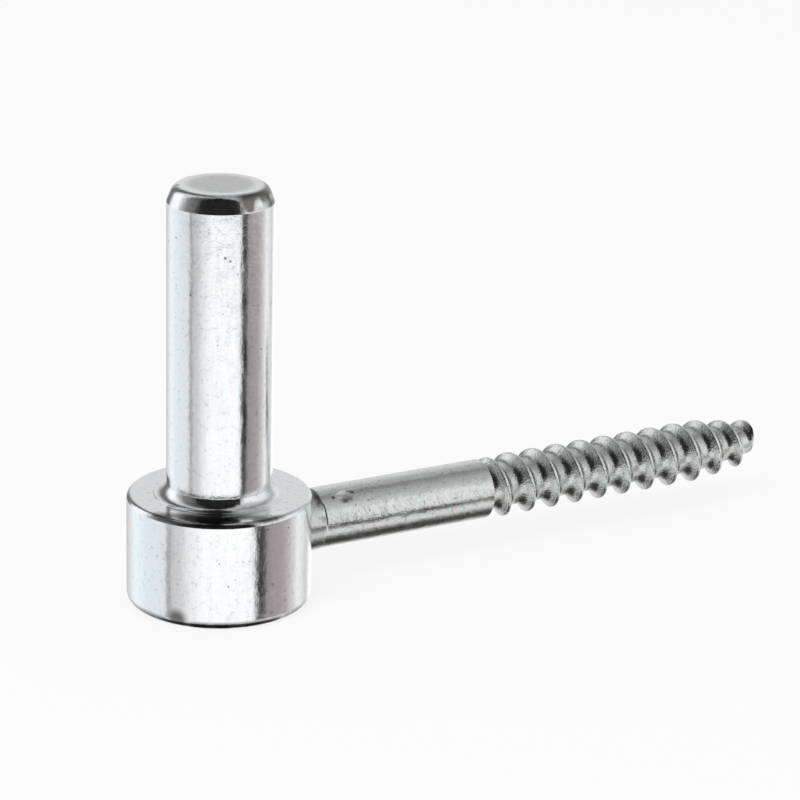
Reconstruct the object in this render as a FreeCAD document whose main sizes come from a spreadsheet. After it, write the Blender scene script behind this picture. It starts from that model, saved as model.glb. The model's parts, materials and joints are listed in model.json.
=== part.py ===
import FreeCAD, Part
import os

import Sketcher
from FreeCAD import Vector

# Screw-in hinge pin: a turned pin with a collar, and a wood screw that is welded into the side of the collar.
# Origin at the middle of the collar's foot, +Z up along the pin, +X out along the screw.

doc = FreeCAD.newDocument("ScrewInHingePin")

# Driving sizes in millimetres, angles in degrees
drivingSizes = [
    ("pinDiameter", "16", "plain pin that the hinge's eye turns on"),
    ("pinRise", "48", "pin's top above the collar's top"),
    ("pinLeadLength", "2.5", "height of the lead-in chamfer at the pin's top"),
    ("pinLeadDepth", "1.05", "how far the lead-in comes in from the pin's side"),
    ("pinTopBreak", "0.3", "broken edge round the flat on top"),
    ("pinFootFillet", "1.5", "hollow fillet between pin and collar"),
    ("collarDiameter", "28", "collar that the eye sits on"),
    ("collarHeight", "17", "collar from foot to top"),
    ("collarTopBreak", "0.6", "broken edge round the collar's top"),
    ("collarFootBreak", "1.2", "broken edge round the collar's foot"),
    ("screwHeight", "10", "screw's axis above the foot"),
    ("seatDiameter", "8", "hole in the collar, and the spigot in it"),
    ("seatDepth", "9", "spigot's length inside the collar"),
    ("seatClearance", "0.4", "free space in front of the spigot"),
    ("spigotChamfer", "0.6", "lead-in on the spigot"),
    ("drillPointAngle", "118", "point of the drill that made the hole"),
    ("shankDiameter", "9.4", "plain part of the screw"),
    ("shankReach", "46", "end of the plain part, from the pin's axis"),
    ("shoulderLength", "0.8", "chamfer where the plain part ends"),
    ("threadLength", "52.3", "from the end of the plain part to the tip"),
    ("weldDiameter", "10.6", "upset of the weld at the collar's wall"),
    ("weldLength", "2.4", "how far the upset reaches along the shank"),
    ("weldStep", "0.15", "height of the upset's outer edge over the shank"),
    ("threadDiameter", "9.8", "crests of the wood thread"),
    ("rootDiameter", "6.8", "core between the crests"),
    ("threadPitch", "4.5", "one turn of the thread"),
    ("threadRunIn", "0.4", "middle of the ridge at its start, past the plain part"),
    ("threadRunOut", "1.3", "middle of the ridge at its end, short of the tip"),
    ("taperLength", "11.4", "narrowing part of the thread before the tip"),
    ("taperAngle", "10", "slope of core and crests towards the tip"),
    ("crestWidth", "0.5", "flat on top of the ridge"),
    ("flankAngle", "60", "angle between the two sides of the ridge"),
    ("ridgeSink", "0.4", "how deep the ridge is rooted in the core"),
]

sheet = doc.addObject("Spreadsheet::Sheet", "Sizes")
for row, (alias, value, note) in enumerate(drivingSizes, start=1):
    sheet.set(f"A{row}", alias)
    sheet.set(f"B{row}", value)
    sheet.setAlias(f"B{row}", alias)
    sheet.set(f"C{row}", note)
doc.recompute()


def size(alias):
    return float(sheet.get(alias))


def originPlane(body, role):
    return [feature for feature in body.Origin.OriginFeatures if feature.Role == role][0]


def newBody(label):
    body = doc.addObject("PartDesign::Body", "Body_" + label)
    body.Label = label
    return body


# A closed outline of straight lines. Each corner is given by two formulas, across and up, and None puts it on an axis.
def drawOutline(body, name, role, corners):
    sketch = body.newObject("Sketcher::SketchObject", name)
    sketch.AttachmentSupport = [(originPlane(body, role), "")]
    sketch.MapMode = "FlatFace"
    count = len(corners)
    rough = [Vector(10 + index, 10 + index * (count - index), 0) for index in range(count)]
    for index in range(count):
        sketch.addGeometry(Part.LineSegment(rough[index], rough[(index + 1) % count]))
    for index in range(count):
        sketch.addConstraint(Sketcher.Constraint("Coincident", index, 2, (index + 1) % count, 1))
    for index, (across, up) in enumerate(corners):
        for kind, formula, axis, start in (
            ("DistanceX", across, -2, rough[index].x),
            ("DistanceY", up, -1, rough[index].y),
        ):
            if formula is None:
                sketch.addConstraint(Sketcher.Constraint("PointOnObject", index, 1, axis))
            else:
                place = sketch.addConstraint(Sketcher.Constraint(kind, -1, 1, index, 1, start))
                sketch.setExpression(f"Constraints[{place}]", formula)
    doc.recompute()
    return sketch


def revolve(body, name, kind, sketch, axis):
    feature = body.newObject("PartDesign::" + kind, name)
    feature.Profile = sketch
    feature.ReferenceAxis = (sketch, [axis])
    feature.Angle = 360
    doc.recompute()
    return feature


# Edges of a body that are full circles about the pin's axis, at a height and of a radius
def ringEdges(body, height, radius):
    names = []
    for number, edge in enumerate(body.Shape.Edges, start=1):
        curve = edge.Curve
        if not isinstance(curve, Part.Circle):
            continue
        if abs(curve.Radius - radius) < 0.01 and abs(curve.Center.z - height) < 0.01:
            names.append(f"Edge{number}")
    return names


# A fillet or a chamfer on such a ring
def dressRing(body, name, kind, height, radius, amount, formula):
    base = body.Tip
    feature = body.newObject("PartDesign::" + kind, name)
    feature.Base = (base, ringEdges(body, height, radius))
    feature.setExpression(amount, formula)
    doc.recompute()
    return feature


# Hinge pin with its collar, turned as one
pinBody = newBody("hinge_pin")
pinTop = "Sizes.collarHeight + Sizes.pinRise"
pinProfile = drawOutline(pinBody, "PinProfile", "XZ_Plane", [
    (None, None),
    ("Sizes.collarDiameter / 2", None),
    ("Sizes.collarDiameter / 2", "Sizes.collarHeight"),
    ("Sizes.pinDiameter / 2", "Sizes.collarHeight"),
    ("Sizes.pinDiameter / 2", pinTop + " - Sizes.pinLeadLength"),
    ("Sizes.pinDiameter / 2 - Sizes.pinLeadDepth", pinTop),
    (None, pinTop),
])
revolve(pinBody, "PinTurned", "Revolution", pinProfile, "V_Axis")

collarRadius = size("collarDiameter") / 2
pinRadius = size("pinDiameter") / 2
topHeight = size("collarHeight") + size("pinRise")
flatRadius = pinRadius - size("pinLeadDepth")
dressRing(pinBody, "PinFoot", "Fillet", size("collarHeight"), pinRadius, "Radius", "Sizes.pinFootFillet")
dressRing(pinBody, "CollarTop", "Chamfer", size("collarHeight"), collarRadius, "Size", "Sizes.collarTopBreak")
dressRing(pinBody, "CollarFoot", "Chamfer", 0, collarRadius, "Size", "Sizes.collarFootBreak")
dressRing(pinBody, "PinTop", "Chamfer", topHeight, flatRadius, "Size", "Sizes.pinTopBreak")

# Drilled seat for the screw's spigot, from the collar's side
seatEnd = "Sizes.collarDiameter / 2 - Sizes.seatDepth - Sizes.seatClearance"
seatProfile = drawOutline(pinBody, "SeatProfile", "XZ_Plane", [
    (seatEnd + " - Sizes.seatDiameter / 2 / tan(Sizes.drillPointAngle * 1 deg / 2)", None),
    ("Sizes.collarDiameter", None),
    ("Sizes.collarDiameter", "Sizes.seatDiameter / 2"),
    (seatEnd, "Sizes.seatDiameter / 2"),
])
seatProfile.setExpression("AttachmentOffset.Base.y", "Sizes.screwHeight")
solidPin = pinBody.Shape.Volume
revolve(pinBody, "Seat", "Groove", seatProfile, "H_Axis")
print("seat takes away", round(solidPin - pinBody.Shape.Volume, 2), "mm3")

# Wood screw with its spigot, shank, weld upset, core and ridge
screwBody = newBody("wood_screw")
screwBody.setExpression("Placement.Base.z", "Sizes.screwHeight")
shankRadius = "Sizes.shankDiameter / 2"
rootRadius = "Sizes.rootDiameter / 2"
weldEnd = "Sizes.collarDiameter / 2 + Sizes.weldLength"
threadTip = "(Sizes.shankReach + Sizes.threadLength)"
taperStart = "(Sizes.shankReach + Sizes.threadLength - Sizes.taperLength)"
tipRadius = rootRadius + " - Sizes.taperLength * tan(Sizes.taperAngle * 1 deg)"
shankProfile = drawOutline(screwBody, "ShankProfile", "XZ_Plane", [
    ("Sizes.collarDiameter / 4", None),
    (threadTip, None),
    (threadTip, tipRadius),
    (taperStart, rootRadius),
    ("Sizes.shankReach + Sizes.shoulderLength", rootRadius),
    ("Sizes.shankReach", shankRadius),
    (weldEnd, shankRadius),
    (weldEnd, shankRadius + " + Sizes.weldStep"),
    ("Sizes.collarDiameter / 4", "Sizes.weldDiameter / 2"),
])
revolve(screwBody, "ShankTurned", "Revolution", shankProfile, "H_Axis")

# The upset ends on the collar's round wall
wall = screwBody.newObject("Sketcher::SketchObject", "CollarWall")
wall.AttachmentSupport = [(originPlane(screwBody, "XY_Plane"), "")]
wall.MapMode = "FlatFace"
wall.addGeometry(Part.Circle(Vector(0, 0, 0), Vector(0, 0, 1), collarRadius))
wall.addConstraint(Sketcher.Constraint("Coincident", 0, 3, -1, 1))
wallRadius = wall.addConstraint(Sketcher.Constraint("Radius", 0, collarRadius))
wall.setExpression(f"Constraints[{wallRadius}]", "Sizes.collarDiameter / 2")
doc.recompute()
uncutScrew = screwBody.Shape.Volume
saddle = screwBody.newObject("PartDesign::Pocket", "Saddle")
saddle.Profile = wall
saddle.Type = "ThroughAll"
saddle.Midplane = True
doc.recompute()
print("saddle takes away", round(uncutScrew - screwBody.Shape.Volume, 2), "mm3")

spigotEnd = "Sizes.collarDiameter / 2 - Sizes.seatDepth"
spigotProfile = drawOutline(screwBody, "SpigotProfile", "XZ_Plane", [
    (spigotEnd, None),
    (weldEnd, None),
    (weldEnd, "Sizes.seatDiameter / 2"),
    (spigotEnd + " + Sizes.spigotChamfer", "Sizes.seatDiameter / 2"),
    (spigotEnd, "Sizes.seatDiameter / 2 - Sizes.spigotChamfer"),
])
revolve(screwBody, "Spigot", "Revolution", spigotProfile, "H_Axis")

# Section of the thread's ridge where the taper begins, rooted a little way inside the core
crestRadius = "Sizes.threadDiameter / 2"
ridgeHeight = f"({crestRadius} - {rootRadius} + Sizes.ridgeSink)"
halfCrest = "Sizes.crestWidth / 2"
halfRoot = f"({halfCrest} + {ridgeHeight} * tan(Sizes.flankAngle * 1 deg / 2))"
ridgeForm = drawOutline(screwBody, "RidgeForm", "XY_Plane", [
    (f"{taperStart} - {halfRoot}", rootRadius + " - Sizes.ridgeSink"),
    (f"{taperStart} + {halfRoot}", rootRadius + " - Sizes.ridgeSink"),
    (f"{taperStart} + {halfCrest}", crestRadius),
    (f"{taperStart} - {halfCrest}", crestRadius),
])
# The axis that the ridge winds round, drawn from the pin's axis to the start of the taper
shankEnd = size("shankReach")
windingAxis = ridgeForm.addGeometry(Part.LineSegment(Vector(0, 0, 0), Vector(shankEnd, 0, 0)), True)
ridgeForm.addConstraint(Sketcher.Constraint("Coincident", windingAxis, 1, -1, 1))
ridgeForm.addConstraint(Sketcher.Constraint("PointOnObject", windingAxis, 2, -1))
axisLength = ridgeForm.addConstraint(Sketcher.Constraint("Distance", windingAxis, shankEnd))
ridgeForm.setExpression(f"Constraints[{axisLength}]", taperStart)
doc.recompute()


# Right-hand turns of the ridge from that section, towards the shank or towards the tip
def windRidge(name, towardsShank, height, angle):
    ridge = screwBody.newObject("PartDesign::AdditiveHelix", name)
    ridge.Profile = ridgeForm
    ridge.ReferenceAxis = (ridgeForm, ["Axis0"])
    ridge.Mode = "pitch-height-angle"
    ridge.HasBeenEdited = True
    ridge.LeftHanded = False
    ridge.Reversed = towardsShank
    ridge.setExpression("Pitch", "Sizes.threadPitch")
    ridge.setExpression("Height", height)
    ridge.setExpression("Angle", angle)
    before = screwBody.Shape.Volume
    doc.recompute()
    print(name, "adds", round(screwBody.Shape.Volume - before, 2), "mm3")
    return ridge


windRidge("TaperedTurns", False, "Sizes.taperLength - Sizes.threadRunOut", "-Sizes.taperAngle")
windRidge("ParallelTurns", True, f"{taperStart} - Sizes.shankReach - Sizes.threadRunIn", "0")

# Every object and every sub-part is sound before anything is written
for item in doc.Objects:
    faults = [state for state in item.State if state in ("Invalid", "Error")]
    if faults:
        raise RuntimeError(f"{item.Name} is {faults}")
os.makedirs("parts", exist_ok=True)
for body in (pinBody, screwBody):
    shape = body.Shape
    if shape.isNull() or not shape.isValid() or len(shape.Solids) != 1:
        raise RuntimeError(f"{body.Label} is no single valid solid")
    print(body.Label, round(shape.Volume, 1), "mm3", len(shape.Faces), "faces")
    shape.exportStep(f"parts/{body.Label}.step")
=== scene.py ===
import json
from math import atan2, cos, pi, radians, sin, tan

import bmesh
import bpy
from mathutils import Matrix, Vector


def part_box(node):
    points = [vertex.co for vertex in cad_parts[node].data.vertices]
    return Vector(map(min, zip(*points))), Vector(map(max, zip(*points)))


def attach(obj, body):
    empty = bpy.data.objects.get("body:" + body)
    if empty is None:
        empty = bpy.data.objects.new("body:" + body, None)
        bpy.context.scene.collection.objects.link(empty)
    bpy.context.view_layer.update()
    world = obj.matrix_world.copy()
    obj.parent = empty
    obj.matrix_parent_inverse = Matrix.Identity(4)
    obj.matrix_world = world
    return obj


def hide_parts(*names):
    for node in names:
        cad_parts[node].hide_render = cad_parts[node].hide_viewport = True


# Screw-in hinge pin of zinc-plated steel: a turned pin with its collar, and a wood screw welded into it

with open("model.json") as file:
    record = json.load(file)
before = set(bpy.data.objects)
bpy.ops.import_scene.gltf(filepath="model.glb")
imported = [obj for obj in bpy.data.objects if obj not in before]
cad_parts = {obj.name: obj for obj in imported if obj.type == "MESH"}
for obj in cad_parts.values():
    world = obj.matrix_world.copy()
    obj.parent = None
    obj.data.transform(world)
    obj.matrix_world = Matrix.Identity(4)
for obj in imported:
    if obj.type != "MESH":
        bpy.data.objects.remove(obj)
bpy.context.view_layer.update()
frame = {"record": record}
mm = 0.001
closeBy = 0.001          # in millimetres, points nearer to each other than this are one
fewestSegments = 3       # of a rounding in a section
segmentTurn = radians(12)
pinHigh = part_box("hinge_pin")[1]
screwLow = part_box("wood_screw")[0]
mounts = {mount["name"]: mount for mount in frame["record"]["mounts"]}
screwHeight = mounts["post_shank"]["pos_m"][2] / mm     # screw's axis over the foot
print("frame loaded")


# Small helpers

def nothingSelected():
    bpy.ops.object.select_all(action="DESELECT")


def onlySelected(piece):
    nothingSelected()
    piece.select_set(True)
    bpy.context.view_layer.objects.active = piece


def editing(piece):
    onlySelected(piece)
    bpy.ops.object.mode_set(mode="EDIT")


def finished():
    bpy.ops.object.mode_set(mode="OBJECT")


def selectPoints(piece, test):
    mesh = bmesh.from_edit_mesh(piece.data)
    for point in mesh.verts:
        point.select = test(point.co / mm)
    mesh.select_flush_mode()
    bmesh.update_edit_mesh(piece.data)


def applied(piece, kind, **settings):
    onlySelected(piece)
    modifier = piece.modifiers.new(kind.title(), kind)
    for setting, value in settings.items():
        setattr(modifier, setting, value)
    bpy.ops.object.modifier_apply(modifier=modifier.name)


def combined(piece, tool, operation):
    applied(piece, "BOOLEAN", object=tool, operation=operation, solver="EXACT")
    bpy.data.objects.remove(tool)


# A line of edges through the corners, in millimetres, with its corners rounded, ready to be spun.
# Each corner is across, up and the radius that rounds it.
def drawSection(name, corners, place):
    nothingSelected()
    bpy.ops.mesh.primitive_plane_add(size=mm)
    section = bpy.context.object
    section.name = name
    bpy.ops.object.mode_set(mode="EDIT")
    bpy.ops.mesh.select_all(action="SELECT")
    bpy.ops.mesh.merge(type="CENTER")
    points = [place(across, up) * mm for across, up, rounding in corners]
    bpy.ops.transform.translate(value=points[0])
    for here, there in zip(points, points[1:]):
        bpy.ops.mesh.extrude_region_move(TRANSFORM_OT_translate={"value": there - here})
    for before, here, after, (across, up, rounding) in zip(points, points[1:], points[2:], corners[1:]):
        if rounding:
            turn = (here - before).angle(after - here)
            selectPoints(section, lambda at: (at - here / mm).length < closeBy)
            bpy.ops.mesh.bevel(
                offset=rounding * mm * tan(turn / 2),
                segments=max(fewestSegments, round(turn / segmentTurn)),
                affect="VERTICES",
            )
    return section


# Spins a section round an axis into a closed solid
def turned(section, axis, steps):
    bpy.ops.mesh.select_all(action="SELECT")
    bpy.ops.mesh.spin(steps=steps, angle=2 * pi, center=(0, 0, 0), axis=axis)
    closeUp()
    finished()
    return section


def closeUp():
    bpy.ops.mesh.select_all(action="SELECT")
    bpy.ops.mesh.remove_doubles(threshold=closeBy * mm)
    bpy.ops.mesh.normals_make_consistent(inside=False)


# Smooth roundings between faces that stay flat
def smoothed(piece, angle=35):
    onlySelected(piece)
    bpy.ops.object.shade_smooth_by_angle(angle=radians(angle))
    applied(piece, "WEIGHTED_NORMAL", keep_sharp=True, weight=80)


# Turned hinge pin with its collar

pinSizes = {
    "pinRadius": mounts["eye_pin"]["dims"]["r_mm"],
    "leadLength": 2.5,        # lead-in at the pin's top
    "leadDepth": 1.05,
    "topRounding": 1.5,       # round the flat on top, which catches the light as a crescent
    "leadRounding": 0.5,      # where the lead-in meets the side
    "footFillet": 1.8,        # hollow between pin and collar
    "footStep": 0.06,         # edge that the turning tool left outside the fillet
    "collarRadius": pinHigh.x / mm,
    "collarHeight": mounts["eye_seat"]["pos_m"][2] / mm,
    "collarTopRounding": 0.8,
    "collarFootRounding": 1.5,
    "seatRadius": 4.0,
    "seatDepth": 9.4,
    "seatSides": 64,
    "steps": 192,
}


def buildPin(sizes):
    top = pinHigh.z / mm
    radius, collar, height = sizes["pinRadius"], sizes["collarRadius"], sizes["collarHeight"]
    section = drawSection("turnedPin", [
        (0, 0, 0),
        (collar, 0, sizes["collarFootRounding"]),
        (collar, height, sizes["collarTopRounding"]),
        (radius + sizes["footFillet"] + 2 * sizes["footStep"], height, 0),
        (radius + sizes["footFillet"] + sizes["footStep"], height + sizes["footStep"], 0),
        (radius, height + sizes["footStep"], sizes["footFillet"]),
        (radius, top - sizes["leadLength"], sizes["leadRounding"]),
        (radius - sizes["leadDepth"], top, sizes["topRounding"]),
        (0, top, 0),
    ], lambda across, up: Vector((across, 0, up)))
    pin = turned(section, (0, 0, 1), sizes["steps"])
    nothingSelected()
    drill = 2 * sizes["seatDepth"]      # half of the drill stays outside the collar's wall
    bpy.ops.mesh.primitive_cylinder_add(
        vertices=sizes["seatSides"],
        radius=sizes["seatRadius"] * mm,
        depth=drill * mm,
        location=(collar * mm, 0, screwHeight * mm),
        rotation=(0, pi / 2, 0),
    )
    combined(pin, bpy.context.object, "DIFFERENCE")
    smoothed(pin)
    return pin


turnedPin = buildPin(pinSizes)
print("turned pin and collar", len(turnedPin.data.polygons))


# Rolled wood screw

screwSizes = {
    "spigotStart": screwLow.x / mm,
    "spigotRadius": 4.0,
    "spigotChamfer": 0.6,
    "spigotHold": 1.0,        # how far the spigot runs on inside the shank, to join it
    "weldRadius": 5.3,        # upset of the weld at the collar's wall
    "weldEnd": 16.0,
    "weldStep": 0.07,
    "weldRounding": 0.1,
    "grooveDepth": 0.03,      # undercut where the upset meets the plain shank
    "grooveLength": 0.28,
    "grooveRounding": 0.3,
    "shankRadius": mounts["post_shank"]["dims"]["r_mm"],
    "shankEnd": 46.0,
    "shankRounding": 0.2,
    "shoulder": 0.8,
    "shoulderSink": 0.3,      # how far inside the thread's core the shoulder ends
    "rootRadius": 3.4,
    "crestRadius": 4.9,
    "pitch": 4.5,
    "spareTurns": 2,          # wound before the shoulder and past the tip, and then cut off
    "crestWidth": 0.5,
    "flankAngle": 60,
    "rootRounding": 1.3,
    "crestRounding": 0.16,
    "ridgeStart": 46.4,       # middle of the ridge where it leaves the shoulder, on the far side
    "ridgeGrows": 1.2,        # along the axis, until the ridge has its full height
    "taperStart": 86.9,
    "taperAngle": 8,
    "ridgeFades": 96.9,
    "ridgeEnds": 99.2,
    "tip": 97.2,
    "clampAlong": 20.4,       # middle of the clamp mark, a shallow oval
    "clampTurn": 31,          # degrees from the shank's top towards the front
    "clampDepth": 0.28,
    "clampBall": (2.9, 1.6, 1.5),
    "clampSides": 64,
    "steps": 96,
}


def alongScrew(across, up):
    return Vector((across, up, 0))


def easing(low, high, value):
    share = min(1, max(0, (value - low) / (high - low)))
    return share * share * (3 - 2 * share)


# One pitch of the thread, wound along the axis and then narrowed towards the tip
def buildThread(sizes):
    root, crest, pitch = sizes["rootRadius"], sizes["crestRadius"], sizes["pitch"]
    halfCrest = sizes["crestWidth"] / 2
    halfFoot = halfCrest + (crest - root) * tan(radians(sizes["flankAngle"] / 2))
    first = sizes["ridgeStart"] - sizes["spareTurns"] * pitch
    thread = drawSection("thread", [
        (first - pitch / 2, root, 0),
        (first - halfFoot, root, sizes["rootRounding"]),
        (first - halfCrest, crest, sizes["crestRounding"]),
        (first + halfCrest, crest, sizes["crestRounding"]),
        (first + halfFoot, root, sizes["rootRounding"]),
        (first + pitch / 2, root, 0),
    ], alongScrew)
    finished()
    turns = round((sizes["tip"] - first) / pitch) + sizes["spareTurns"]
    applied(
        thread, "SCREW", axis="X", angle=2 * pi, screw_offset=pitch * mm,
        iterations=turns, steps=sizes["steps"], render_steps=sizes["steps"],
        use_merge_vertices=False,
    )
    slope = tan(radians(sizes["taperAngle"]))
    for point in thread.data.vertices:
        along, y, z = point.co / mm
        angle = atan2(z, y) / (2 * pi)
        turn = round((along - first) / pitch - angle)
        middle = first + pitch * (turn + angle)
        radius = Vector((y, z)).length
        height = (radius - root) * easing(0, sizes["ridgeGrows"], middle - sizes["ridgeStart"])
        height *= 1 - easing(sizes["ridgeFades"], sizes["ridgeEnds"], middle)
        core = root - max(0, along - sizes["taperStart"]) * slope
        point.co.y *= (core + height) / radius
        point.co.z *= (core + height) / radius
    editing(thread)
    closeUp()
    for cut, beyond in ((sizes["shankEnd"] - pitch, -1), (sizes["tip"], 1)):
        bpy.ops.mesh.select_all(action="SELECT")
        bpy.ops.mesh.bisect(
            plane_co=(cut * mm, 0, 0),
            plane_no=(beyond, 0, 0),
            threshold=closeBy * mm,
            use_fill=True,
            clear_outer=True,
        )
    closeUp()
    finished()
    return thread


# Long ball that presses the shallow clamp mark into the shank's upper front
def clampTool(sizes):
    nothingSelected()
    sides = sizes["clampSides"]
    bpy.ops.mesh.primitive_uv_sphere_add(segments=sides, ring_count=sides // 2, radius=mm)
    tool = bpy.context.object
    bpy.ops.object.mode_set(mode="EDIT")
    bpy.ops.mesh.select_all(action="SELECT")
    bpy.ops.transform.resize(value=sizes["clampBall"])
    lift = sizes["shankRadius"] - sizes["clampDepth"] + sizes["clampBall"][2]
    bpy.ops.transform.translate(value=(sizes["clampAlong"] * mm, 0, lift * mm))
    finished()
    tool.data.transform(Matrix.Rotation(radians(sizes["clampTurn"]), 4, "X"))
    return tool


def buildScrew(sizes):
    collar = pinSizes["collarRadius"]
    inside = collar / 2
    weldEnd, shank = sizes["weldEnd"], sizes["shankRadius"]
    shoulderEnd = sizes["shankEnd"] + sizes["shoulder"]
    blank = turned(drawSection("rolledScrew", [
        (inside, 0, 0),
        (inside, sizes["weldRadius"], 0),
        (weldEnd, shank + sizes["weldStep"], sizes["weldRounding"]),
        (weldEnd + sizes["weldStep"], shank - sizes["grooveDepth"], 0),
        (weldEnd + sizes["grooveLength"], shank, sizes["grooveRounding"]),
        (sizes["shankEnd"], shank, sizes["shankRounding"]),
        (shoulderEnd, sizes["rootRadius"] - sizes["shoulderSink"], 0),
        (shoulderEnd, 0, 0),
    ], alongScrew), (1, 0, 0), sizes["steps"])
    nothingSelected()
    # The collar's own cylinder cuts the weld's end to the curve of the wall
    bpy.ops.mesh.primitive_cylinder_add(
        vertices=pinSizes["steps"],
        radius=collar * mm,
        depth=4 * collar * mm,
    )
    combined(blank, bpy.context.object, "DIFFERENCE")
    spigotEnd = weldEnd + sizes["spigotHold"]
    spigot = turned(drawSection("spigot", [
        (sizes["spigotStart"], 0, 0),
        (sizes["spigotStart"], sizes["spigotRadius"] - sizes["spigotChamfer"], 0),
        (sizes["spigotStart"] + sizes["spigotChamfer"], sizes["spigotRadius"], 0),
        (spigotEnd, sizes["spigotRadius"], 0),
        (spigotEnd, 0, 0),
    ], alongScrew), (1, 0, 0), sizes["steps"])
    combined(blank, spigot, "UNION")
    combined(blank, buildThread(sizes), "UNION")
    combined(blank, clampTool(sizes), "DIFFERENCE")
    editing(blank)
    bpy.ops.mesh.select_all(action="SELECT")
    bpy.ops.transform.translate(value=(0, 0, screwHeight * mm))
    bpy.ops.mesh.dissolve_degenerate(threshold=2 * closeBy * mm)
    bpy.ops.mesh.fill_holes(sides=8)
    closeUp()
    finished()
    smoothed(blank)
    return blank


rolledScrew = buildScrew(screwSizes)
print("rolled screw", len(rolledScrew.data.polygons))


# Materials

def linear(hexColour):
    parts = [int(hexColour[at:at + 2], 16) / 255 for at in (1, 3, 5)]
    return (*[part / 12.92 if part <= 0.04045 else ((part + 0.055) / 1.055) ** 2.4 for part in parts], 1)


# Adds a node with its settings, and links its inputs: a value is set, a socket is linked.
# Stops are the places and colours, or light levels, of a colour ramp.
def addNode(owner, kind, inputs=None, stops=None, **settings):
    node = owner.node_tree.nodes.new(kind)
    for setting, value in settings.items():
        setattr(node, setting, value)
    for name, value in (inputs or {}).items():
        if isinstance(value, bpy.types.NodeSocket):
            owner.node_tree.links.new(value, node.inputs[name])
        else:
            node.inputs[name].default_value = value
    for number, (place, level) in enumerate(stops or ()):
        if number > 1:
            node.color_ramp.elements.new(place)
        stop = node.color_ramp.elements[number]
        stop.position = place
        stop.color = linear(level) if isinstance(level, str) else (level, level, level, 1)
    return node


def newMaterial(name):
    material = bpy.data.materials.new(name)
    material.use_nodes = True
    material.node_tree.nodes.clear()
    return material


# A soft round mask about a place on the part, for a single pit, burr, stain or patch of painted shade
def spotMask(material, coordinates, place, radius, edge, strength):
    away = addNode(material, "ShaderNodeVectorMath", {
        0: coordinates, 1: [value * mm for value in place],
    }, operation="DISTANCE")
    mask = addNode(material, "ShaderNodeMapRange", {
        "Value": away.outputs["Value"],
        "From Min": radius * mm,
        "From Max": (radius - edge) * mm,
        "To Max": strength,
    }, interpolation_type="SMOOTHSTEP")
    return mask.outputs["Result"]


# What both finishes share: between which noise levels each pattern sets in, and two directions on the plan
plate = {
    "castStops": (0.28, 0.4, 0.52, 0.66),       # dull, cool, plain and warm
    "markLimits": (0.35, 0.65),
    "pitLimits": (0.52, 0.75),
    "raggedLimits": (0.32, 0.52),
    "frontwards": (-0.5, -0.87, 0),             # towards the photograph's camera
    "asidewards": (0.87, -0.5, 0),              # to the right as it sees the part
}
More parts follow.
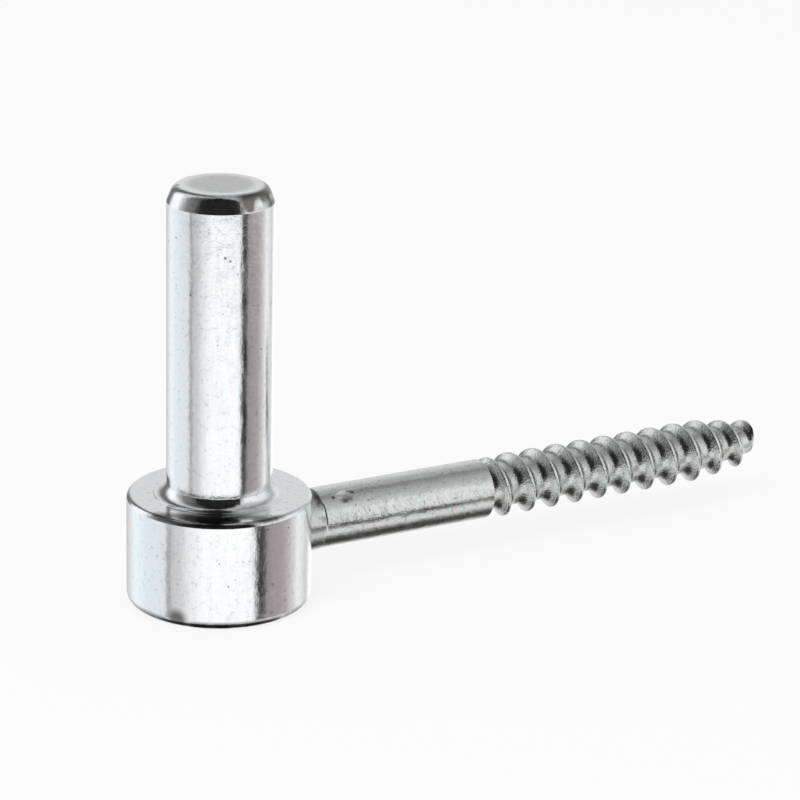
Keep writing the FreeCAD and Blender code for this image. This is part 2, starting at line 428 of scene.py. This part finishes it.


# Bright zinc plate over steel. The plate mirrors softly, its fine crystal grain breaks the edges of every
# reflection, its thickness drifts between a cool and a warm cast, and a few pits stay dark. Bands and
# spots of painted shade and painted reflection are darkened into its colour too.
def zincPlated(name, finish):
    material = newMaterial(name)
    coordinates = addNode(material, "ShaderNodeTexCoord").outputs["Object"]
    marks = addNode(material, "ShaderNodeMapping", {
        "Vector": coordinates,
        "Scale": [1 / (length * mm) for length in finish["markLengths"]],
    })
    grain = addNode(material, "ShaderNodeTexNoise", {
        "Vector": coordinates, "Scale": 1 / (finish["grainSize"] * mm), "Detail": 3.0, "Roughness": 0.65,
    })
    waves = addNode(material, "ShaderNodeTexNoise", {
        "Vector": coordinates, "Scale": 1 / (finish["waveLength"] * mm), "Detail": 2.0,
    })
    lines = addNode(material, "ShaderNodeTexNoise", {
        "Vector": marks.outputs["Vector"], "Scale": 1.0, "Detail": 2.0, "Roughness": 0.6,
    })
    cast = addNode(material, "ShaderNodeTexNoise", {
        "Vector": coordinates, "Scale": 1 / (finish["castSize"] * mm), "Detail": 4.0, "Roughness": 0.7,
    })
    castColours = [finish[name] for name in ("dullColour", "coolColour", "colour", "warmColour")]
    colour = addNode(material, "ShaderNodeValToRGB", {
        "Fac": cast.outputs["Fac"],
    }, stops=zip(plate["castStops"], castColours))
    pits = addNode(material, "ShaderNodeTexVoronoi", {
        "Vector": coordinates, "Scale": 1 / (finish["pitSpacing"] * mm), "Randomness": 1.0,
    })
    pitSize = addNode(material, "ShaderNodeTexNoise", {
        "Vector": coordinates, "Scale": 1 / (3 * finish["pitSpacing"] * mm), "Detail": 1.0,
    })
    pitEdge = addNode(material, "ShaderNodeMapRange", {
        "Value": pitSize.outputs["Fac"],
        "From Min": plate["pitLimits"][0],
        "From Max": plate["pitLimits"][1],
        "To Max": finish["pitRadius"],
    })
    pitMask = addNode(material, "ShaderNodeMath", {
        0: pits.outputs["Distance"], 1: pitEdge.outputs["Result"],
    }, operation="LESS_THAN")
    dark = pitMask.outputs[0]
    for spotSizes in finish["spots"]:
        spot = spotMask(material, coordinates, *spotSizes)
        dark = addNode(material, "ShaderNodeMath", {0: dark, 1: spot}, operation="MAXIMUM").outputs[0]
    roughness = addNode(material, "ShaderNodeMapRange", {
        "Value": lines.outputs["Fac"],
        "From Min": plate["markLimits"][0],
        "From Max": plate["markLimits"][1],
        "To Min": finish["roughness"][0],
        "To Max": finish["roughness"][1],
    }).outputs["Result"]
    place = addNode(material, "ShaderNodeSeparateXYZ", {0: coordinates})
    fromAxis = addNode(material, "ShaderNodeVectorMath", {
        0: coordinates, 1: (0, 0, -screwHeight * mm),
    }, operation="ADD")
    crossways = addNode(material, "ShaderNodeVectorMath", {
        0: fromAxis.outputs[0], 1: (0, 1, 1),
    }, operation="MULTIPLY")
    radius = addNode(material, "ShaderNodeVectorMath", {0: crossways.outputs[0]}, operation="LENGTH")
    front = addNode(material, "ShaderNodeVectorMath", {
        0: coordinates, 1: plate["frontwards"],
    }, operation="DOT_PRODUCT")
    aside = addNode(material, "ShaderNodeVectorMath", {
        0: coordinates, 1: plate["asidewards"],
    }, operation="DOT_PRODUCT")
    measures = {
        "along": place.outputs["X"],
        "height": place.outputs["Z"],
        "front": front.outputs["Value"],
        "aside": aside.outputs["Value"],
        "radius": radius.outputs["Value"],
    }
    ragged = addNode(material, "ShaderNodeMapRange", {
        "Value": waves.outputs["Fac"],
        "From Min": plate["raggedLimits"][0],
        "From Max": plate["raggedLimits"][1],
    })
    for strength, *limits in finish["bands"]:
        band = addNode(material, "ShaderNodeMath", {
            0: ragged.outputs["Result"], 1: strength,
        }, operation="MULTIPLY").outputs[0]
        for measure, outside, inside in limits:
            limit = addNode(material, "ShaderNodeMapRange", {
                "Value": measures[measure], "From Min": outside * mm, "From Max": inside * mm,
            })
            band = addNode(material, "ShaderNodeMath", {
                0: band, 1: limit.outputs["Result"],
            }, operation="MULTIPLY").outputs[0]
        dark = addNode(material, "ShaderNodeMath", {0: dark, 1: band}, operation="MAXIMUM").outputs[0]
    grainDepth = finish["grainDepth"] * mm
    if "threadGrain" in finish:
        onThread = addNode(material, "ShaderNodeMapRange", {
            "Value": place.outputs["X"],
            "From Min": screwSizes["shankEnd"] * mm,
            "From Max": (screwSizes["shankEnd"] + screwSizes["shoulder"]) * mm,
        })
        roughness = addNode(material, "ShaderNodeMath", {
            0: onThread.outputs["Result"], 1: finish["threadRoughness"], 2: roughness,
        }, operation="MULTIPLY_ADD").outputs[0]
        grainDepth = addNode(material, "ShaderNodeMath", {
            0: onThread.outputs["Result"], 1: finish["threadGrain"] * mm, 2: grainDepth,
        }, operation="MULTIPLY_ADD").outputs[0]
    # Pits and marks, and the bands and spots of painted shade and painted reflection, darken the colour
    # towards this dark colour
    darkened = addNode(material, "ShaderNodeMix", {
        "Factor": dark, 6: colour.outputs["Color"], 7: linear(finish["pitAndShadeColour"]),
    }, data_type="RGBA")
    normal = None
    for height, depth in (
        (waves.outputs["Fac"], finish["waveDepth"] * mm),
        (lines.outputs["Fac"], finish["markDepth"] * mm),
        (grain.outputs["Fac"], grainDepth),
    ):
        bump = addNode(material, "ShaderNodeBump", {"Strength": 1.0, "Distance": depth, "Height": height})
        if normal:
            material.node_tree.links.new(normal, bump.inputs["Normal"])
        normal = bump.outputs["Normal"]
    surface = addNode(material, "ShaderNodeBsdfPrincipled", {
        "Base Color": darkened.outputs[2],
        "Metallic": 1.0,
        "Roughness": roughness,
        "Normal": normal,
    })
    addNode(material, "ShaderNodeOutputMaterial", {"Surface": surface.outputs["BSDF"]})
    return material


# Lengths in millimetres. Mark lengths are how far a tool mark or a rolling mark runs along X, Y and Z.
turnedFinish = {
    "colour": "#ECEEEF",
    "coolColour": "#E5EAED",
    "warmColour": "#F0EBEA",
    "dullColour": "#C6C3C2",
    "castSize": 0.8,
    "grainSize": 0.4,         # real plating crystals are finer, drawn as coarse as they need to show
    "grainDepth": 0.014,
    "waveLength": 3.0,
    "waveDepth": 0.055,
    "markLengths": (0.7, 0.7, 5.0),
    "markDepth": 0.01,
    "roughness": (0.1, 0.17),
    "pitSpacing": 0.9,
    "pitRadius": 0.16,
    "pitAndShadeColour": "#544E4B",
    # Strength of each darker band, and where it begins and is full by each measure, broken up by the waves
    "bands": [
        # dirt and painted contact shade on the foot's rounding, darker towards the floor
        (0.9, ("height", 1.6, 0.8)),
        # painted dark reflection on the front of the collar's top, on the side towards the camera
        (0.92, ("height", 16.3, 16.8), ("height", 17.6, 17.1), ("front", 8.8, 10.4)),
        # painted dark reflection on the right side of the lead-in
        (0.88, ("height", 62.4, 62.7), ("height", 65.0, 64.8), ("aside", 2.2, 3.6), ("front", -4, -2)),
    ],
    # Place, radius, soft edge and strength of each mark that the photo shows
    "spots": [
        ((-3.0, -7.4, 56.0), 0.32, 0.2, 0.8),       # pits on the pin
        ((-2.3, -7.7, 55.5), 0.3, 0.2, 0.7),
        ((-6.9, -4.0, 50.0), 0.35, 0.25, 0.6),
        ((-2.3, 5.9, 64.9), 0.42, 0.2, 0.9),        # burrs on its top edge
        ((-5.9, 2.3, 64.8), 0.5, 0.3, 0.7),
        ((-11.2, -8.4, 1.4), 2.2, 1.6, 0.85),       # stain and painted contact shade low on the collar's front left
        ((0.0, 0.0, 65.0), 6.0, 2.0, 0.42),         # duller plate on the pin's end
    ],
}
rolledFinish = {
    "colour": "#E2E4E3",
    "coolColour": "#D3DEDA",
    "warmColour": "#E5DEDD",
    "dullColour": "#ABABA9",
    "castSize": 0.7,
    "grainSize": 0.42,
    "grainDepth": 0.03,
    "waveLength": 2.2,
    "waveDepth": 0.08,
    "markLengths": (6.0, 0.5, 0.5),
    "markDepth": 0.014,
    "roughness": (0.13, 0.22),
    "pitSpacing": 0.9,
    "pitRadius": 0.16,
    "pitAndShadeColour": "#5E5957",
    "threadRoughness": 0.06,  # rolling leaves the thread duller and coarser than the shank
    "threadGrain": 0.045,
    "bands": [
        # painted shade deepening the thread's roots, darker towards the core
        (0.12, ("radius", 4.3, 3.4)),
        # painted shadow along the upper edge of the weld's upset
        (0.95, ("along", 14.4, 15.3), ("along", 16.2, 16.0), ("height", 10.3, 12.0)),
        # painted shade along the clamp mark's lower edge
        (0.9, ("along", 18.9, 19.8), ("along", 22.6, 21.6), ("height", 13.0, 13.2), ("height", 13.8, 13.5),
            ("front", -10.6, -9.6)),
    ],
    "spots": [
        ((18.2, -2.6, 13.9), 0.45, 0.3, 0.8),       # dark speck before the clamp mark
        ((11.0, 0.0, 10.0), 7.0, 0.5, 0.25),        # dull plate on the weld
    ],
}
for piece, node, slot, name, finish in (
    (turnedPin, "hinge_pin", "turned_steel", "zincPlatedTurnedSteel", turnedFinish),
    (rolledScrew, "wood_screw", "rolled_steel", "zincPlatedRolledSteel", rolledFinish),
):
    piece.data.materials.clear()
    piece.data.materials.append(zincPlated(name, finish))
    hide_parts(node)
    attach(piece, "root")
print("materials")


# Studio: a white floor and a light tent, with dark gaps where the photographed metal mirrors them

studio = {
    "floorSize": 6.0,
    "floorColour": "#F4F4F4",
    "floorGlow": 0.85,        # share of the floor's own white that the camera sees, the rest is lit
    "softLight": 0.8,         # the tent's even light on the floor
    "tentLight": 1.22,        # what the metal mirrors where the tent is white
    "front": -30.1,           # degrees, where the tent's front is, 0 looks along +Y
    # Light levels or colours round the tent, each with its degrees from the tent's front
    "middle": [
        (-180, 0.7), (-163, 0.5), (-150, 0.6), (-126, "#EAF3F6"), (-100, "#DFE6EC"), (-75, "#DDE2E6"),
        (-66, 0.74), (-64, 0.3), (-60, 0.3), (-57, 0.58), (-46, 0.58), (-36, 0.78), (-16, 0.98),
        (34, 0.98), (47, 0.94), (49, 0.7), (51, "#2A2624"), (61, "#1E1A18"), (64, "#8E8788"),
        (92, "#A29A9A"), (107, "#C9C4C4"), (118, 0.84), (129, 0.74), (142, 0.56), (157, 0.98),
        (168, 1.08), (180, 0.9),
    ],
    "upper": [
        (-180, 0.64), (-168, 0.64), (-152, 0.15), (-137, 0.15), (-125, 0.95), (-104, 0.95), (-90, 0.45),
        (-78, 0.19), (-57, 0.13), (-44, 0.012), (49, 0.012), (56, 0.84), (68, 0.84), (110, 0.75),
        (138, 0.4), (158, 0.75), (172, 0.62), (180, 0.64),
    ],
    "under": 0.7,
    # Heights where one gives way to the other, -1 is straight down and 1 straight up
    "middleToUpper": (-0.27, -0.14),
    "middleToUnder": (-0.4, -0.52),
    # Dimming from straight down, 0, to straight up, 1
    "fading": [
        (0.0, "#423D3B"), (0.07, "#4C4745"), (0.09, 0.26), (0.117, 0.65), (0.147, 1.0), (0.7, 1.0),
        (0.76, 0.9), (0.82, 0.68), (0.89, 0.55), (0.945, 0.45), (1.0, 0.45),
    ],
    "lampPower": 4.0,
    "lampSize": 0.5,
    "lampPlace": (-0.55, -0.35, 0.75),
}


def buildFloor():
    nothingSelected()
    bpy.ops.mesh.primitive_plane_add(size=studio["floorSize"])
    floor = bpy.context.object
    floor.name = "paleFloor"
    material = newMaterial("mattPaper")
    paper = addNode(material, "ShaderNodeBsdfDiffuse", {"Color": linear(studio["floorColour"])})
    white = addNode(material, "ShaderNodeEmission", {"Strength": 1.0})
    ray = addNode(material, "ShaderNodeLightPath")
    seen = addNode(material, "ShaderNodeMath", {
        0: ray.outputs["Is Camera Ray"], 1: ray.outputs["Is Glossy Ray"],
    }, operation="ADD")
    share = addNode(material, "ShaderNodeMath", {
        0: seen.outputs[0], 1: studio["floorGlow"],
    }, operation="MULTIPLY")
    mix = addNode(material, "ShaderNodeMixShader", {
        0: share.outputs[0], 1: paper.outputs[0], 2: white.outputs[0],
    })
    addNode(material, "ShaderNodeOutputMaterial", {"Surface": mix.outputs[0]})
    floor.data.materials.append(material)
    floor.visible_glossy = False        # the metal mirrors the tent below it too, as on a glass table


# Degrees from the tent's front become places on a colour ramp that runs once round the tent
def roundTheTent(levels):
    return [((degree + 180) / 360, level) for degree, level in levels]


# Light levels of the tent by direction: round the middle and over it by azimuth, and then by height
def buildTent():
    world = bpy.data.worlds.new("lightTent")
    bpy.context.scene.world = world
    world.use_nodes = True
    world.node_tree.nodes.clear()
    direction = addNode(world, "ShaderNodeTexCoord").outputs["Generated"]
    turnedRound = addNode(world, "ShaderNodeMapping", {
        "Vector": direction, "Rotation": (0, 0, pi / 2 - radians(studio["front"])),
    })
    place = addNode(world, "ShaderNodeSeparateXYZ", {0: turnedRound.outputs[0]})
    azimuth = addNode(world, "ShaderNodeMath", {
        0: place.outputs["Y"], 1: place.outputs["X"],
    }, operation="ARCTAN2")
    degrees = addNode(world, "ShaderNodeMapRange", {
        "Value": azimuth.outputs[0], "From Min": -pi, "From Max": pi,
    })
    height = place.outputs["Z"]
    middle = addNode(world, "ShaderNodeValToRGB", {
        "Fac": degrees.outputs[0],
    }, stops=roundTheTent(studio["middle"]))
    upper = addNode(world, "ShaderNodeValToRGB", {
        "Fac": degrees.outputs[0],
    }, stops=roundTheTent(studio["upper"]))
    overMiddle = addNode(world, "ShaderNodeMapRange", {
        "Value": height,
        "From Min": studio["middleToUpper"][0],
        "From Max": studio["middleToUpper"][1],
    }, interpolation_type="SMOOTHSTEP")
    sides = addNode(world, "ShaderNodeMix", {
        "Factor": overMiddle.outputs[0], 6: middle.outputs["Color"], 7: upper.outputs["Color"],
    }, data_type="RGBA")
    underMiddle = addNode(world, "ShaderNodeMapRange", {
        "Value": height,
        "From Min": studio["middleToUnder"][0],
        "From Max": studio["middleToUnder"][1],
    }, interpolation_type="SMOOTHSTEP")
    tent = addNode(world, "ShaderNodeMix", {
        "Factor": underMiddle.outputs[0], 6: sides.outputs[2], 7: (*[studio["under"]] * 3, 1),
    }, data_type="RGBA")
    byHeight = addNode(world, "ShaderNodeMapRange", {"Value": height, "From Min": -1.0, "From Max": 1.0})
    fading = addNode(world, "ShaderNodeValToRGB", {
        "Fac": byHeight.outputs[0],
    }, stops=studio["fading"])
    mirrored = addNode(world, "ShaderNodeMix", {
        "Factor": 1.0, 6: tent.outputs[2], 7: fading.outputs["Color"],
    }, data_type="RGBA", blend_type="MULTIPLY")
    ray = addNode(world, "ShaderNodeLightPath")
    seenByMetal = addNode(world, "ShaderNodeBackground", {
        "Color": mirrored.outputs[2], "Strength": studio["tentLight"],
    })
    soft = addNode(world, "ShaderNodeBackground", {"Strength": studio["softLight"]})
    white = addNode(world, "ShaderNodeBackground", {"Strength": 1.0})
    glossy = addNode(world, "ShaderNodeMixShader", {
        0: ray.outputs["Is Glossy Ray"], 1: soft.outputs[0], 2: seenByMetal.outputs[0],
    })
    camera = addNode(world, "ShaderNodeMixShader", {
        0: ray.outputs["Is Camera Ray"], 1: glossy.outputs[0], 2: white.outputs[0],
    })
    addNode(world, "ShaderNodeOutputWorld", {"Surface": camera.outputs[0]})


def buildLamp():
    lamp = bpy.data.objects.new("softBox", bpy.data.lights.new("softBox", "AREA"))
    bpy.context.scene.collection.objects.link(lamp)
    lamp.location = studio["lampPlace"]
    lamp.rotation_euler = Vector(studio["lampPlace"]).to_track_quat("Z", "Y").to_euler()
    lamp.data.size = studio["lampSize"]
    lamp.data.energy = studio["lampPower"]
    lamp.visible_glossy = False         # it only gives the floor its shadow, the metal mirrors the tent


buildFloor()
buildTent()
buildLamp()
print("studio")


# Camera, at the photograph's viewing angle

cameraSizes = {
    "azimuth": -30.10,        # degrees, 0 looks along +Y
    "elevation": 18.77,
    "roll": 1.35,
    "distance": 514.0,        # mm, from the middle of the collar's foot
    "aside": 27.62,           # mm, the view's middle right of that point
    "above": 29.91,
    "lens": 151.79,           # mm
    "sensor": 36,
    "nearest": 10,            # mm, nothing nearer than this is drawn
}


def buildCamera(sizes):
    azimuth, elevation, roll = (radians(sizes[name]) for name in ("azimuth", "elevation", "roll"))
    back = Vector((sin(azimuth) * cos(elevation), -cos(azimuth) * cos(elevation), sin(elevation)))
    right = Vector((cos(azimuth), sin(azimuth), 0))
    up = back.cross(right)
    across = cos(roll) * right + sin(roll) * up
    upwards = cos(roll) * up - sin(roll) * right
    place = (back * sizes["distance"] + across * sizes["aside"] + upwards * sizes["above"]) * mm
    camera = bpy.data.objects.new("camera", bpy.data.cameras.new("camera"))
    bpy.context.scene.collection.objects.link(camera)
    camera.matrix_world = Matrix.Translation(place) @ Matrix((across, upwards, back)).transposed().to_4x4()
    camera.data.sensor_width = sizes["sensor"]
    camera.data.lens = sizes["lens"]
    camera.data.clip_start = sizes["nearest"] * mm
    bpy.context.scene.camera = camera


buildCamera(cameraSizes)
bpy.context.scene.view_settings.view_transform = "Standard"
print("camera")
